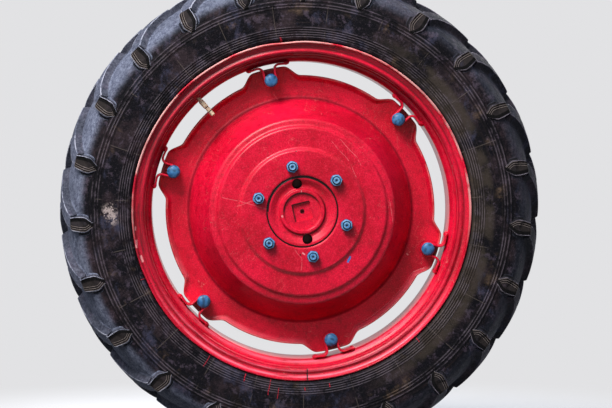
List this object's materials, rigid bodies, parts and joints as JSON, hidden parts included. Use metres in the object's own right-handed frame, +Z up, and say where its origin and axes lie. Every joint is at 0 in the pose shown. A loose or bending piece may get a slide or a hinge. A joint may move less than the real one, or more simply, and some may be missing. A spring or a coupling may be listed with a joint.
{
  "type": "tractor rear wheel on its axle end",
  "caption": "Narrow farm tractor rear wheel with chevron bar tyre, drop centre rim and bolted dished disc, turning on the end of its axle housing.",
  "frame": {"origin": "centre of the inboard mounting face of the axle housing, on the wheel's axis", "axes": "+Y along the wheel's axis towards the tractor, +X to the right when the outer side is seen, +Z up"},
  "size_m": [1.0894, 0.377, 1.0892],
  "materials": {
    "wheel_red": "worn gloss paint",
    "housing_blue": "worn gloss paint",
    "bolt_blue": "brushed on paint",
    "bolt_steel": "dull, lightly rusted",
    "bearing_steel": "ground",
    "seal_rubber": "matt",
    "tyre_rubber": "dusty, aged",
    "valve_brass": "dull"
  },
  "bodies": {
    "housing": {"axle_housing": "housing_blue", "axle_bearing": "bearing_steel", "bearing_retainer": "housing_blue", "oil_seal": "seal_rubber", "retainer_bolt_1": "bolt_steel", "retainer_bolt_2": "bolt_steel", "retainer_bolt_3": "bolt_steel", "retainer_bolt_4": "bolt_steel", "retainer_bolt_5": "bolt_steel", "retainer_bolt_6": "bolt_steel"},
    "wheel": {"axle_shaft": "wheel_red", "wheel_disc": "wheel_red", "wheel_rim": "wheel_red", "tyre": "tyre_rubber", "valve_stem": "valve_brass", "rim_lug_1": "wheel_red", "rim_lug_2": "wheel_red", "rim_lug_3": "wheel_red", "rim_lug_4": "wheel_red", "rim_lug_5": "wheel_red", "rim_lug_6": "wheel_red", "clamp_bolt_1": "bolt_blue", "clamp_bolt_2": "bolt_blue", "clamp_bolt_3": "bolt_blue", "clamp_bolt_4": "bolt_blue", "clamp_bolt_5": "bolt_blue", "clamp_bolt_6": "bolt_blue", "clamp_nut_1": "bolt_steel", "clamp_nut_2": "bolt_steel", "clamp_nut_3": "bolt_steel", "clamp_nut_4": "bolt_steel", "clamp_nut_5": "bolt_steel", "clamp_nut_6": "bolt_steel", "hub_stud_1": "bolt_blue", "hub_stud_2": "bolt_blue", "hub_stud_3": "bolt_blue", "hub_stud_4": "bolt_blue", "hub_stud_5": "bolt_blue", "hub_stud_6": "bolt_blue", "hub_nut_1": "bolt_blue", "hub_nut_2": "bolt_blue", "hub_nut_3": "bolt_blue", "hub_nut_4": "bolt_blue", "hub_nut_5": "bolt_blue", "hub_nut_6": "bolt_blue"}
  },
  "joints": [
    {"name": "wheel_spin", "type": "hinge", "parent": "housing", "child": "wheel", "pos_m": [0, -0.19, 0], "axis": [0, 1, 0], "continuous": true}
  ]
}
